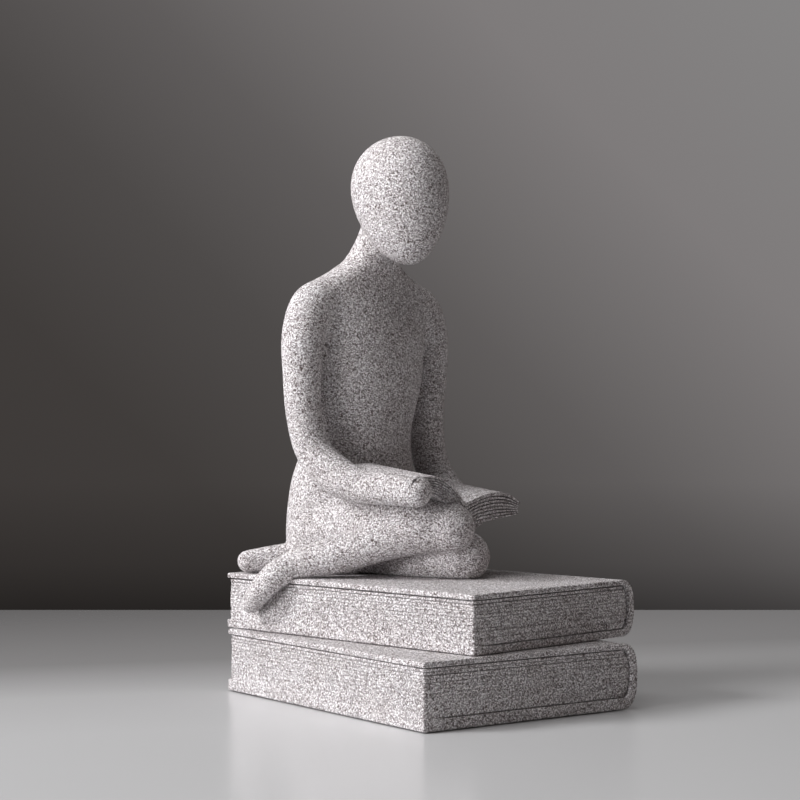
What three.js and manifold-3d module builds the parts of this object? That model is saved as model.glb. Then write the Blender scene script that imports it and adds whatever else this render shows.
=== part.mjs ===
// Seated reader: an abstract, faceless figure that reads an open book on a stack of two closed books.
// It is a tabletop ornament of stone resin: eight castings, pinned and bonded, with felt under the base.
// Millimetres, +Z up. The origin is under the middle of the ornament, on the surface that it stands on.
// The lower book's tail edge faces -Y and its spine faces +X.
import * as THREE from "three";
import { mergeVertices } from "three/addons/utils/BufferGeometryUtils.js";
import Module from "manifold-3d";

const wasm = await Module();
wasm.setup();

// Fits
const bondLine = 0.3; // adhesive between two castings
const pinClearance = 0.3; // round a pin in its hole, and at its ends

// Felt under the base, let into the lower book
const feltThickness = 1.2;
const feltProud = 0.4; // below the underside of the book
const feltInset = 5; // from the outline of the boards
const feltCorner = 4;

// Closed books: the boards wrap round a block of leaves
const lowerBook = { length: 138, width: 105.8, thickness: 25.8, topBoard: 2.2, bottomBoard: 4.4 };
const upperBook = { length: 141, width: 96.8, thickness: 22.9, topBoard: 2.1, bottomBoard: 3 };
const upperBookTurn = 9.6; // degrees about +Z
const upperBookShiftX = 7.9; // centre of the upper book from the centre of the lower one
const upperBookShiftY = 10.4;
const spineSwell = 7.5; // the rounded spine beyond the boards
const spineWall = 3.6;
const boardProud = 0.75; // the boards beyond the block of leaves
const boardSoftening = 0.5;
const leafTuck = 0.2; // the block of leaves runs into the boards and the spine by this much
const leafCorner = 0.8;
const leafLines = 8; // spaces between the grooves round each block of leaves
const leafLineDepth = 0.4;
const leafLineShare = 0.28; // width of a groove as a share of a space

// Torso, from the seat upwards: each rise starts at the level below it
const figureSide = -3.8; // axis of the figure from the centre of the upper book
const figureBack = 43; // and towards its head edge
const seatSize = { wide: 27, deep: 21.5, lean: -1 };
const hipSize = { rise: 16, wide: 29.6, deep: 22.8, lean: 0 };
const flankSize = { rise: 22, wide: 29, deep: 22.6, lean: 2.6 };
const waistSize = { rise: 20, wide: 25.4, deep: 18.8, lean: 6.2 };
const ribSize = { rise: 22, wide: 29.2, deep: 18.4, lean: 9.6 };
const chestSize = { rise: 22, wide: 31, deep: 16.6, lean: 11 };
const shoulderSize = { rise: 17, wide: 35, deep: 11.6, lean: 11.5 };
const slopeSize = { rise: 7.5, wide: 20.5, deep: 11, lean: 12 };
const neckBaseSize = { rise: 5, wide: 12.6, deep: 10.6, lean: 13.8 };
const neckSize = { rise: 7.5, wide: 9.8, deep: 10.2, lean: 18 };
const neckEndSize = { wide: 11.2, deep: 11.7, back: 1.5 }; // at the middle of the head, and behind it

// Head: an egg with its crown up and its chin drawn towards the book
const headLength = 54.5;
const headHalfWidth = 18.8;
const headHalfDepth = 21.2;
const headTaper = 0.2; // fuller at the crown and narrower at the chin, as a share
const headTilt = 11; // degrees, chin forward
const headRise = 16.5; // centre of the head above the neck
const headLean = 31;

// Legs. A station lies to the reader's left, forward of the figure's axis and above the seat.
const lowerKneeHeight = 8.4;
const kneeStack = 12.4; // axis of the upper knee above that of the lower one
const rightHip = { left: -12, forward: 8, above: -3.8, radius: 15 };
const rightMidThigh = { left: -8, forward: 37, above: 0, radius: 12.55 };
const rightLowThigh = { left: -5, forward: 54, above: 0.8, radius: 11.9 };
const rightKnee = { left: -3, forward: 62.5, above: 0, radius: 10.1 };
const rightShinTop = { left: -15.5, forward: 42, above: -4.2, radius: 8.2 };
const rightCalf = { left: -30, forward: 22, up: 8.8, radius: 7.5 };
const leftHip = { left: 13, forward: 8, above: 5.6, radius: 14 };
const leftMidThigh = { left: 11, forward: 36, above: 3.1, radius: 12.55 };
const leftKnee = { left: 7.5, forward: 60.5, above: 0, radius: 10.6 };
const leftShinTop = { left: 6, forward: 38, above: -1.4, radius: 8.2 };
const leftCalf = { left: 0, forward: 16, up: 6.8, radius: 7.4 };
const leftAnkle = { left: -14, forward: -2, up: 6.6, radius: 6.6 };
const leftInstep = { left: -27, forward: -11.5, up: 6.1, radius: 5.8 };
const leftToe = { left: -39.3, forward: -19.9, up: 4.7, radius: 4.7 };

// The right foot: here a station lies past the fore edge of the upper book
const rightAnkle = { past: -3.4, forward: 10.5, up: 4.7, radius: 6.2 };
const rightInstep = { past: 3.2, forward: 6.4, up: 0.8, radius: 5.75 };
const rightBall = { past: 5.6, forward: 1, up: -5, radius: 5.3 };
const rightToe = { past: 4.7, forward: -5, up: -11, radius: 4.4 };

// Open book
const leafWidth = 32.5; // gutter to fore edge
const leafHeight = 37;
const leftLeaves = [
  { share: 0.26, rise: 4.3, thick: 11.2 }, // share of the leaf's width, rise above the gutter
  { share: 0.52, rise: 7, thick: 10.6 },
  { share: 0.76, rise: 7.3, thick: 8.4 },
  { share: 1, rise: 5.3, thick: 4 },
];
const rightLeaves = [
  { share: 0.26, rise: 5.6, thick: 8.8 },
  { share: 0.52, rise: 8.1, thick: 7.8 },
  { share: 0.76, rise: 7.4, thick: 6.5 },
  { share: 1, rise: 5, thick: 4 },
];
const gutterDepth = 11; // gutter down to the spine
const spineHalfWidth = 4;
const openBookRoll = 10.5; // degrees, down to the reader's left
const openBookTip = 7; // degrees, raised at the reader's end
const openBookSide = 5; // gutter from the axis of the figure
const openBookForward = 45; // middle of the gutter
const openBookLift = 11.7; // gutter above the axis of the upper knee

// Upper arms: reach from the axis, drop below the middle of the rounded shoulder, and radius
const capDrop = 14.5; // middle of the rounded shoulder below the slope of the shoulders
const shoulderRoot = { reach: 18, drop: -3, radius: 8.5 };
const shoulderCap = { reach: 31, drop: 0, radius: 9.3 };
const deltoid = { reach: 37.8, drop: 12, radius: 8.7 };
const biceps = { reach: 38.3, drop: 28, radius: 8 };
const aboveElbow = { reach: 37.1, drop: 46, radius: 7.4 };
const rightArmForward = 12.2; // where each upper arm hangs, forward of the axis
const leftArmForward = 10.8;
const shoulderSeam = 26; // the seam's distance from the axis
const armpitDrop = 10; // the seam's ledge below the middle of the rounded shoulder

// Forearms: here a station is above the gutter of the open book, which the hands hold
const rightElbow = { left: -34.4, forward: 15, above: 19.5, radius: 7.6 };
const rightForearm = { left: -31.5, forward: 25, above: 9.5, radius: 8.1 };
const rightMidForearm = { left: -28, forward: 38, above: 4.9, radius: 6.8 };
const rightWrist = { left: -24.5, forward: 50, above: 4.5, radius: 6.8 };
const rightHand = { left: -22.5, forward: 60.5, above: 3.9, radius: 6.7 };
const leftElbow = { left: 37.4, forward: 12, above: 15.5, radius: 7.6 };
const leftForearm = { left: 36, forward: 18, above: 7.5, radius: 7.3 };
const leftWrist = { left: 33.5, forward: 29, above: -0.5, radius: 6.8 };
const leftHand = { left: 30.5, forward: 42, above: -8.5, radius: 6.7 };

// Pins and dowels
const armPin = { radius: 1.6, length: 15 };
const armPinOutset = 2; // middle of the pin beyond the seam
const legPin = { radius: 2, length: 20 };
const legPinShare = 0.33; // middle of the pin on the way from hip to knee
const seatPin = { radius: 2.5, length: 18 };
const seatPinSpacing = 18;
const seatPinSide = 4; // middle of the pair from the axis of the figure
const seatPinBack = 7;
const seatPinLift = 1; // middle of each pin above the seat
const dowel = { radius: 3, length: 14 };
const dowelInset = 8.5; // from the long edges of the boards
const dowelSpread = 28; // along the spine, each way from the middle

// Roundness
const limbSides = 18;
const limbSteps = 3; // rings between two stations
const domeLatitudes = [75, 50, 25]; // degrees, of the rings on a limb's domed end
const bodySides = 30;
const bodySteps = 2; // rings between two levels
const headBands = 16;
const pinSides = 16;
const archSteps = 12;
const spineSteps = 12;

// Levels
const lowerBottom = feltProud;
const upperBottom = lowerBottom + lowerBook.thickness + bondLine;
const seatLevel = upperBottom + upperBook.thickness + bondLine;
const upperKneeHeight = lowerKneeHeight + kneeStack;
const gutterHeight = upperKneeHeight + openBookLift;

// Materials
const stone = (color) => new THREE.MeshStandardMaterial({ color, roughness: 0.92, metalness: 0 });
const figureStone = stone(0xb9b2ae);
const bookStone = stone(0xb5adaa);
const steel = new THREE.MeshStandardMaterial({ color: 0x8d9196, roughness: 0.35, metalness: 1 });
const beech = new THREE.MeshStandardMaterial({ color: 0xc9a878, roughness: 0.7, metalness: 0 });
const felt = new THREE.MeshStandardMaterial({ color: 0x2b2b2c, roughness: 1, metalness: 0 });

// Makes a solid of a closed geometry.
function solidOf(geometry) {
  const shell = geometry.clone();
  shell.deleteAttribute("normal");
  shell.deleteAttribute("uv");
  const merged = mergeVertices(shell, 1e-4);
  const vertProperties = merged.attributes.position.array;
  const triVerts = new Uint32Array(merged.index.array);
  return new wasm.Manifold(new wasm.Mesh({ numProp: 3, vertProperties, triVerts }));
}

// Turns a solid back into a named mesh.
function meshOf(name, solid, material) {
  const { vertProperties, triVerts } = solid.getMesh();
  const geometry = new THREE.BufferGeometry();
  geometry.setAttribute("position", new THREE.BufferAttribute(new Float32Array(vertProperties), 3));
  geometry.setIndex(new THREE.BufferAttribute(new Uint32Array(triVerts), 1));
  geometry.computeVertexNormals();
  const mesh = new THREE.Mesh(geometry, material);
  mesh.name = name;
  return mesh;
}

const cutBy = (solid, tools) => tools.reduce((left, tool) => left.subtract(tool), solid);

// Skins a stack of rings, each with the same number of points, and closes both ends with a fan.
function skin(rings) {
  const sides = rings[0].length;
  const points = rings.flat();
  const index = [];
  for (let r = 0; r + 1 < rings.length; r++) {
    for (let i = 0; i < sides; i++) {
      const a = r * sides + i;
      const b = r * sides + ((i + 1) % sides);
      index.push(a, b, a + sides, b, b + sides, a + sides);
    }
  }
  [rings[0], rings.at(-1)].forEach((ring, end) => {
    const middle = ring.reduce((sum, p) => sum.add(p), new THREE.Vector3()).divideScalar(sides);
    const first = end ? (rings.length - 1) * sides : 0;
    points.push(middle);
    for (let i = 0; i < sides; i++) {
      const a = first + i;
      const b = first + ((i + 1) % sides);
      index.push(points.length - 1, end ? a : b, end ? b : a);
    }
  });
  const geometry = new THREE.BufferGeometry().setFromPoints(points);
  geometry.setIndex(index);
  return geometry;
}

// An oval ring round a centre, square to an axis. The side vector says where its width lies.
function ovalRing(centre, axis, side, halfWidth, halfDepth, sides) {
  const across = side.clone().addScaledVector(axis, -side.dot(axis)).normalize();
  const along = axis.clone().cross(across);
  return Array.from({ length: sides }, (_, i) => {
    const turn = (2 * Math.PI * i) / sides;
    return centre
      .clone()
      .addScaledVector(across, halfWidth * Math.cos(turn))
      .addScaledVector(along, halfDepth * Math.sin(turn));
  });
}

// A smooth curve through points.
const through = (points) => new THREE.CatmullRomCurve3(points, false, "centripetal");

// A limb with domed ends that follows a smooth path. Each station is a point with a radius there.
function limb(stations, side, grow) {
  const path = through(stations.map(({ point }) => point));
  const girth = through(stations.map(({ radius }, i) => new THREE.Vector3(radius, i, 0)));
  const steps = (stations.length - 1) * limbSteps;
  const lifts = domeLatitudes.map(THREE.MathUtils.degToRad);
  const rings = [];
  const addRing = (t, lift) => {
    const axis = path.getTangent(t);
    const radius = girth.getPoint(t).x + grow;
    const centre = path.getPoint(t).addScaledVector(axis, radius * Math.sin(lift));
    const size = radius * Math.cos(lift);
    rings.push(ovalRing(centre, axis, side, size, size, limbSides));
  };
  lifts.forEach((lift) => addRing(0, -lift));
  for (let i = 0; i <= steps; i++) addRing(i / steps, 0);
  lifts.reverse().forEach((lift) => addRing(1, lift));
  return solidOf(skin(rings));
}

// A round pin between two points.
function rod([from, to], radius, extra = 0) {
  const length = from.distanceTo(to) + 2 * extra;
  const geometry = new THREE.CylinderGeometry(radius + extra, radius + extra, length, pinSides);
  const axis = to.clone().sub(from).normalize();
  geometry.applyQuaternion(new THREE.Quaternion().setFromUnitVectors(new THREE.Vector3(0, 1, 0), axis));
  geometry.translate(...from.clone().lerp(to, 0.5).toArray());
  return geometry;
}

// A block between two corners.
function block(low, high) {
  const size = high.clone().sub(low);
  const geometry = new THREE.BoxGeometry(...size.toArray());
  geometry.translate(...low.clone().lerp(high, 0.5).toArray());
  return solidOf(geometry);
}

// A rectangle with its corners cut, as points in order.
function plan(left, right, halfLength, cut) {
  return [
    [right, -halfLength + cut],
    [right, halfLength - cut],
    [right - cut, halfLength],
    [left + cut, halfLength],
    [left, halfLength - cut],
    [left, -halfLength + cut],
    [left + cut, -halfLength],
    [right - cut, -halfLength],
  ];
}

// The boards and spine of a closed book, drawn as seen from its tail and drawn out to its length.
function bookCover({ length, width, thickness, topBoard, bottomBoard }, bottom) {
  const soft = boardSoftening;
  const fore = -width / 2;
  const joint = width / 2 - spineSwell;
  const middle = thickness / 2;
  const innerHalf = (thickness - topBoard - bottomBoard) / 2;
  const innerMiddle = bottomBoard + innerHalf;
  const innerSwell = spineSwell - spineWall;
  const shape = new THREE.Shape();
  shape.moveTo(fore + soft, 0);
  shape.lineTo(joint, 0);
  shape.absellipse(joint, middle, spineSwell, middle, -Math.PI / 2, Math.PI / 2, false);
  shape.lineTo(fore + soft, thickness);
  shape.lineTo(fore, thickness - soft);
  shape.lineTo(fore, thickness - topBoard + soft);
  shape.lineTo(fore + soft, thickness - topBoard);
  shape.lineTo(joint, innerMiddle + innerHalf);
  shape.absellipse(joint, innerMiddle, innerSwell, innerHalf, Math.PI / 2, -Math.PI / 2, true);
  shape.lineTo(fore + soft, bottomBoard);
  shape.lineTo(fore, bottomBoard - soft);
  shape.lineTo(fore, soft);
  const options = { depth: length, bevelEnabled: false, curveSegments: spineSteps };
  const bar = new THREE.ExtrudeGeometry(shape, options);
  bar.rotateX(Math.PI / 2);
  bar.translate(0, length / 2, bottom);
  return solidOf(bar);
}

// The block of leaves of a closed book, grooved all round and rounded towards the spine.
function leafBlock({ length, width, thickness, topBoard, bottomBoard }, bottom) {
  const joint = width / 2 - spineSwell;
  const fore = -width / 2 + boardProud;
  const low = bottomBoard - leafTuck;
  const height = thickness - topBoard + leafTuck - low;
  const space = height / leafLines;
  const rings = [];
  const addRing = (rise, inset) => {
    const slope = (2 * rise) / height - 1;
    const swell = (spineSwell - spineWall + leafTuck) * Math.sqrt(Math.max(0, 1 - slope * slope));
    const outline = plan(fore + inset, joint + swell, length / 2 - boardProud - inset, leafCorner);
    rings.push(outline.map(([x, y]) => new THREE.Vector3(x, y, bottom + low + rise)));
  };
  for (let i = 0; i < leafLines; i++) {
    addRing(i * space, 0);
    addRing((i + 1 - leafLineShare) * space, 0);
    if (i + 1 < leafLines) addRing((i + 1 - leafLineShare / 2) * space, leafLineDepth);
  }
  addRing(height, 0);
  return solidOf(skin(rings));
}

const closedBook = (book, bottom) => bookCover(book, bottom).add(leafBlock(book, bottom));

// A point of the figure: to the reader's left, forward of its axis, and above the seat.
const at = (left, forward, up) =>
  new THREE.Vector3(figureSide + left, figureBack - forward, seatLevel + up);
const toLeft = new THREE.Vector3(1, 0, 0);
const upwards = new THREE.Vector3(0, 0, 1);

// Heights of the torso's levels above the seat
const torsoLevels = [
  hipSize,
  flankSize,
  waistSize,
  ribSize,
  chestSize,
  shoulderSize,
  slopeSize,
  neckBaseSize,
  neckSize,
];
const heightOf = (level) =>
  torsoLevels.slice(0, torsoLevels.indexOf(level) + 1).reduce((sum, { rise }) => sum + rise, 0);
const headHeight = heightOf(neckSize) + headRise;
const capHeight = heightOf(slopeSize) - capDrop;

// Pelvis, waist, chest, shoulders and neck, as one stack of level ovals that ends inside the head.
function torso(grow) {
  const neckEnd = { ...neckEndSize, lean: headLean - neckEndSize.back };
  const heights = [0, ...torsoLevels.map(heightOf), headHeight];
  const sizes = [seatSize, ...torsoLevels, neckEnd];
  const axis = through(sizes.map(({ lean }, i) => at(0, lean, heights[i])));
  const girth = through(sizes.map(({ wide, deep }, i) => new THREE.Vector3(wide, deep, heights[i])));
  const steps = (sizes.length - 1) * bodySteps;
  const rings = Array.from({ length: steps + 1 }, (_, i) => {
    const size = girth.getPoint(i / steps);
    const centre = axis.getPoint(i / steps);
    if (i === 0) centre.z -= grow;
    return ovalRing(centre, upwards, toLeft, size.x + grow, size.y + grow, bodySides);
  });
  return solidOf(skin(rings));
}

// An egg-shaped, faceless head, fuller at the crown, tipped towards the book.
function head(grow) {
  const tilt = THREE.MathUtils.degToRad(headTilt);
  const axis = new THREE.Vector3(0, Math.sin(tilt), Math.cos(tilt));
  const middle = at(0, headLean, headHeight);
  const rings = Array.from({ length: headBands - 1 }, (_, i) => {
    const turn = (Math.PI * (i + 1)) / headBands;
    const rise = -Math.cos(turn);
    const full = Math.sin(turn) * (1 + headTaper * rise);
    const centre = middle.clone().addScaledVector(axis, rise * (headLength / 2 + grow));
    const [wide, deep] = [headHalfWidth, headHalfDepth].map((size) => size * full + grow);
    return ovalRing(centre, axis, toLeft, wide, deep, bodySides);
  });
  return solidOf(skin(rings));
}

// From the shoulder to the elbow both arms hang alike. The sign is +1 for the left arm, -1 for the right.
function upperArm(sign, hang) {
  const across = ({ reach, drop, radius }, forward) => ({
    point: at(sign * reach, forward, capHeight - drop),
    radius,
  });
  return [
    across(shoulderRoot, shoulderSize.lean),
    across(shoulderCap, shoulderSize.lean),
    ...[deltoid, biceps, aboveElbow].map((station) => across(station, hang)),
  ];
}

// Stations whose heights are given above a level of their own
const above = (level, stations) =>
  stations.map(({ left, forward, above: rise, radius }) => ({
    point: at(left, forward, level + rise),
    radius,
  }));
const aboveSeat = (stations) =>
  stations.map(({ left, forward, up, radius }) => ({ point: at(left, forward, up), radius }));

// The right forearm crosses the lap, and its mitten hand holds the near edge of the open book.
function rightArm(grow) {
  const forearm = [rightElbow, rightForearm, rightMidForearm, rightWrist, rightHand];
  return limb([...upperArm(-1, rightArmForward), ...above(gutterHeight, forearm)], toLeft, grow);
}

// The left forearm goes down behind the open book, and its hand carries the far half.
function leftArm(grow) {
  const forearm = [leftElbow, leftForearm, leftWrist, leftHand];
  return limb([...upperArm(1, leftArmForward), ...above(gutterHeight, forearm)], toLeft, grow);
}

// A shin starts inside the knee.
const shinStart = (knee, shinTop) => ({ ...knee, radius: (knee.radius + shinTop.radius) / 2 });

// The right leg: its knee lies on the left one, and its foot hangs over the fore edge of the book.
const rightThighStations = [rightHip, rightMidThigh, rightLowThigh, rightKnee];
const rightThighPath = above(upperKneeHeight, rightThighStations);
const rightThigh = (grow) => limb(rightThighPath, upwards, grow);
function rightShin(grow) {
  const foreEdge = -upperBook.width / 2 - figureSide;
  const foot = [rightAnkle, rightInstep, rightBall, rightToe];
  const stations = [
    ...above(upperKneeHeight, [shinStart(rightKnee, rightShinTop), rightShinTop]),
    ...aboveSeat([rightCalf, ...foot.map((station) => ({ ...station, left: foreEdge - station.past }))]),
  ];
  return limb(stations, upwards, grow);
}

// The left leg: knee and shin lie flat on the book, and the foot comes out behind the pelvis.
const leftThighPath = above(lowerKneeHeight, [leftHip, leftMidThigh, leftKnee]);
const leftThigh = (grow) => limb(leftThighPath, upwards, grow);
function leftShin(grow) {
  const stations = [
    ...above(lowerKneeHeight, [shinStart(leftKnee, leftShinTop), leftShinTop]),
    ...aboveSeat([leftCalf, leftAnkle, leftInstep, leftToe]),
  ];
  return limb(stations, upwards, grow);
}

// Half of the open book's section, from the spine round the fore edge to the gutter, as points.
function leafSection(leaves, grow) {
  const curve = (first, points) =>
    new THREE.SplineCurve([first, ...points].map(([x, y]) => new THREE.Vector2(x, y))).getPoints(archSteps);
  const edge = leafWidth + grow;
  const width = (share) => share * edge;
  const top = curve([0, grow], leaves.map(({ share, rise }) => [width(share), rise + grow]));
  const under = curve(
    [spineHalfWidth, -gutterDepth - grow],
    leaves.map(({ share, rise, thick }) => [width(share), rise - thick - grow]),
  );
  return [...under, ...top.toReversed()];
}

// The open book: arched leaves on a narrow spine, drawn as seen from its end and drawn out.
function openBook(grow) {
  const right = leafSection(rightLeaves, grow).toReversed();
  const left = leafSection(leftLeaves, grow);
  const shape = new THREE.Shape([...left, ...right.slice(1).map(({ x, y }) => new THREE.Vector2(-x, y))]);
  const length = leafHeight + 2 * grow;
  const book = new THREE.ExtrudeGeometry(shape, { depth: length, bevelEnabled: false });
  book.rotateX(Math.PI / 2);
  book.translate(0, length / 2, 0);
  book.rotateY(THREE.MathUtils.degToRad(openBookRoll));
  book.rotateX(THREE.MathUtils.degToRad(openBookTip));
  book.translate(...at(openBookSide, openBookForward, gutterHeight).toArray());
  return solidOf(book);
}

// Pins and dowels, each given by its two ends in the frame of the upper book
function pinAt(centre, direction, { radius, length }, material) {
  const half = direction.clone().setLength(length / 2);
  return { ends: [centre.clone().sub(half), centre.clone().add(half)], radius, material };
}
function shoulderPin(sign) {
  const centre = at(sign * (shoulderSeam + armPinOutset), shoulderSize.lean, capHeight);
  return pinAt(centre, toLeft, armPin, steel);
}
function hipPin(thighPath) {
  const hip = thighPath[0].point;
  const knee = thighPath.at(-1).point;
  return pinAt(hip.clone().lerp(knee, legPinShare), knee.clone().sub(hip), legPin, steel);
}
function bodyPin(sign) {
  const centre = at(seatPinSide + (sign * seatPinSpacing) / 2, -seatPinBack, seatPinLift);
  return pinAt(centre, upwards, seatPin, steel);
}
function bookDowel(sign) {
  const boardMiddle = -spineSwell / 2;
  const reach = (upperBook.width - spineSwell) / 2 - dowelInset;
  const bond = upperBottom - bondLine / 2;
  const centre = new THREE.Vector3(boardMiddle + sign * reach, sign * dowelSpread, bond);
  return pinAt(centre, upwards, dowel, beech);
}
const pins = {
  shoulder_pin_right: shoulderPin(-1),
  shoulder_pin_left: shoulderPin(1),
  hip_pin_right: hipPin(rightThighPath),
  hip_pin_left: hipPin(leftThighPath),
  seat_pin_right: bodyPin(-1),
  seat_pin_left: bodyPin(1),
  book_dowel_fore_edge: bookDowel(-1),
  book_dowel_spine: bookDowel(1),
};
const holeFor = ({ ends, radius }) => rod(ends, radius, pinClearance);
const drill = (solid, ...names) => cutBy(solid, names.map((name) => solidOf(holeFor(pins[name]))));

// What the castings are cut by, in the frame of the upper book
const halfBook = { x: upperBook.width / 2 + bondLine, y: upperBook.length / 2 + bondLine };
const bookSpace = block(
  new THREE.Vector3(-halfBook.x, -halfBook.y, upperBottom),
  new THREE.Vector3(halfBook.x, halfBook.y, seatLevel),
);
const trunk = torso(0).add(head(0));
const trunkSpace = torso(bondLine).add(head(bondLine));
const legSpaces = [rightThigh, rightShin, leftThigh, leftShin].map((leg) => leg(bondLine));

// The shoulder seams: a plane beside the neck and a ledge above the armpit. Outside them is the arm's.
const farOut = shoulderSize.wide + shoulderCap.reach;
const ledge = capHeight - armpitDrop;
const acrossFrom = (low, high, from) => block(at(low, farOut, from), at(high, -farOut, headHeight));
const insideSeams = (extra) => acrossFrom(-shoulderSeam - extra, shoulderSeam + extra, ledge);
const outsideSeam = (sign, extra) => {
  const reach = [sign * (shoulderSeam + extra), sign * farOut].sort((a, b) => a - b);
  return acrossFrom(...reach, ledge + extra);
};

// The castings of the figure, each cut by what it meets, less the bond line
const arms = [rightArm(0), leftArm(0)];
const signs = [-1, 1];
const torsoAndHead = cutBy(
  arms.reduce(
    (solid, arm) => solid.add(arm.intersect(insideSeams(0))),
    cutBy(trunk, signs.map((sign) => outsideSeam(sign, 0))),
  ),
  [rightShin(bondLine), leftShin(bondLine)],
);
const [rightArmCasting, leftArmCasting] = arms.map((arm, i) => {
  const free = cutBy(arm, [insideSeams(bondLine), trunkSpace, ...legSpaces, openBook(bondLine)]);
  return free.add(arm.add(trunk).intersect(outsideSeam(signs[i], bondLine)));
});
const leftLeg = leftThigh(0).subtract(trunkSpace).add(leftShin(0)).subtract(bookSpace);
const rightLegFree = rightThigh(0).subtract(trunkSpace).add(rightShin(0));
const rightLeg = cutBy(rightLegFree, [leftThigh(bondLine), leftShin(bondLine), bookSpace]);
const readingBook = cutBy(openBook(0), [...legSpaces, trunkSpace]);

const seatPins = ["seat_pin_right", "seat_pin_left"];
const bookDowels = ["book_dowel_fore_edge", "book_dowel_spine"];
const jointPins = ["shoulder_pin_right", "shoulder_pin_left", "hip_pin_right", "hip_pin_left"];
const upperCasting = drill(closedBook(upperBook, upperBottom), ...seatPins, ...bookDowels);
const upperStack = new THREE.Group();
upperStack.rotation.z = THREE.MathUtils.degToRad(upperBookTurn);
upperStack.position.set(upperBookShiftX, upperBookShiftY, 0);
upperStack.add(
  meshOf("upper_book", upperCasting, bookStone),
  meshOf("torso_and_head", drill(torsoAndHead, ...jointPins, ...seatPins), figureStone),
  meshOf("right_arm", drill(rightArmCasting, "shoulder_pin_right"), figureStone),
  meshOf("left_arm", drill(leftArmCasting, "shoulder_pin_left"), figureStone),
  meshOf("right_leg", drill(rightLeg, "hip_pin_right"), figureStone),
  meshOf("left_leg", drill(leftLeg, "hip_pin_left"), figureStone),
  meshOf("open_book", readingBook, figureStone),
);
for (const [name, { ends, radius, material }] of Object.entries(pins)) {
  upperStack.add(meshOf(name, solidOf(rod(ends, radius)), material));
}
upperStack.updateMatrix();

// The felt, and the lower book with a shallow recess for it and the lower ends of the dowels
function feltSheet(extra, depth) {
  const inset = feltInset - extra;
  const left = -lowerBook.width / 2 + inset;
  const right = lowerBook.width / 2 - spineSwell - inset;
  const outline = plan(left, right, lowerBook.length / 2 - inset, feltCorner);
  const shape = new THREE.Shape(outline.map(([x, y]) => new THREE.Vector2(x, y)));
  return solidOf(new THREE.ExtrudeGeometry(shape, { depth, bevelEnabled: false }));
}
const dowelHoles = bookDowels.map((name) => solidOf(holeFor(pins[name]).applyMatrix4(upperStack.matrix)));
const lowerCasting = cutBy(closedBook(lowerBook, lowerBottom), [
  feltSheet(bondLine, feltThickness + bondLine),
  ...dowelHoles,
]);

const reader = new THREE.Group();
reader.add(
  meshOf("base_felt", feltSheet(0, feltThickness), felt),
  meshOf("lower_book", lowerCasting, bookStone),
  upperStack,
);

// The origin is under the middle of the box round the whole ornament.
const middle = new THREE.Box3().setFromObject(reader, true).getCenter(new THREE.Vector3());
reader.position.set(-middle.x, -middle.y, 0);

export default reader;
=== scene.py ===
# %% [markdown]
# # A seated reader on two books
# This lesson dresses a small stone-resin ornament: a faceless figure with folded legs sits on two
# closed books and reads an open one. The solids of the ornament are loaded as a fixed frame, and
# every piece made here takes its size and its place from that frame. Lengths are written in
# millimetres where they describe the ornament, and become metres when a mesh is made.

# %% Load the solids
import math

import bmesh
import bpy
import numpy as np
from mathutils import Matrix, Vector


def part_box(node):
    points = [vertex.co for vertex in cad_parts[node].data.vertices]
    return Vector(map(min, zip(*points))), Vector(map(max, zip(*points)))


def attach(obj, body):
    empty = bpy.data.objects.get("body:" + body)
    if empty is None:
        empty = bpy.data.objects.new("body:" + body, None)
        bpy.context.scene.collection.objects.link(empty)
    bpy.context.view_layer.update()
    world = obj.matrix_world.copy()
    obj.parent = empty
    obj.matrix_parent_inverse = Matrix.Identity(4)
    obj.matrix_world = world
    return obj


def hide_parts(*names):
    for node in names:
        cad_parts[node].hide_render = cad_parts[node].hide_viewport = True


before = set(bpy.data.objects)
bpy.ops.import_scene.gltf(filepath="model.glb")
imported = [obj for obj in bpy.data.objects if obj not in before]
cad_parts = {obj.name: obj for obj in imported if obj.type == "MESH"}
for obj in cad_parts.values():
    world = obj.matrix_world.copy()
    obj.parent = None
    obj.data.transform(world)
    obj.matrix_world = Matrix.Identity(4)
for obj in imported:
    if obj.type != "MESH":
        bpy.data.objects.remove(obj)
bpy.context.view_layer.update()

print("solids:", sorted(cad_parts))

# %% [markdown]
# ## Where things stand
# The lower book lies square in the frame. The upper book is turned on it, and the figure is laid
# out in the upper book's own axes: x runs to the reader's left, y to the reader's back and z
# upwards. One matrix for each book takes its millimetres to the frame's metres, so a piece can be
# drawn in handy numbers and still land exactly on the solid that it stands for.

# %% One matrix for each book
mm = 0.001
upper_turn = math.radians(9.6)


def book_axes(node, turn):
    """Takes a book's own millimetres, with z = 0 on the floor, to the frame."""
    low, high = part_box(node)
    middle = (low + high) / 2
    place = Matrix.Translation((middle.x, middle.y, 0))
    return place @ Matrix.Rotation(turn, 4, "Z") @ Matrix.Scale(mm, 4)


lower_axes = book_axes("lower_book", 0)
upper_axes = book_axes("upper_book", upper_turn)
print("upper book's centre:", [round(v, 4) for v in upper_axes.translation])

# %% Levels and the figure's own place
bond = 0.3
lower_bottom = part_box("lower_book")[0].z / mm
upper_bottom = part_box("upper_book")[0].z / mm
seat_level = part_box("upper_book")[1].z / mm + bond
figure_side = -3.8
figure_back = 43.0


def at(left, forward, up):
    """A point of the figure, in the upper book's millimetres."""
    return np.array([figure_side + left, figure_back - forward, seat_level + up])


print("seat at", round(seat_level, 2), "mm")

# %% [markdown]
# ## Stone finish
# The ornament is cast in resin and sprayed with a coat that looks like fine granite: a warm grey
# ground, plenty of pale grains under half a millimetre across, fewer brown ones, and tiny pits.
# The
# shade in those pits is painted: finer cells darken some specks of the colour. A picture could be
# wrapped round it, but a picture stretches on a body like this. Voronoi cells in the object's own
# space stay the same size everywhere, so one cell is one grain, and its random colour says which
# kind of grain it is. The same cells lift the surface a little, because grains catch the light.

# %% Small helpers for nodes


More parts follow.
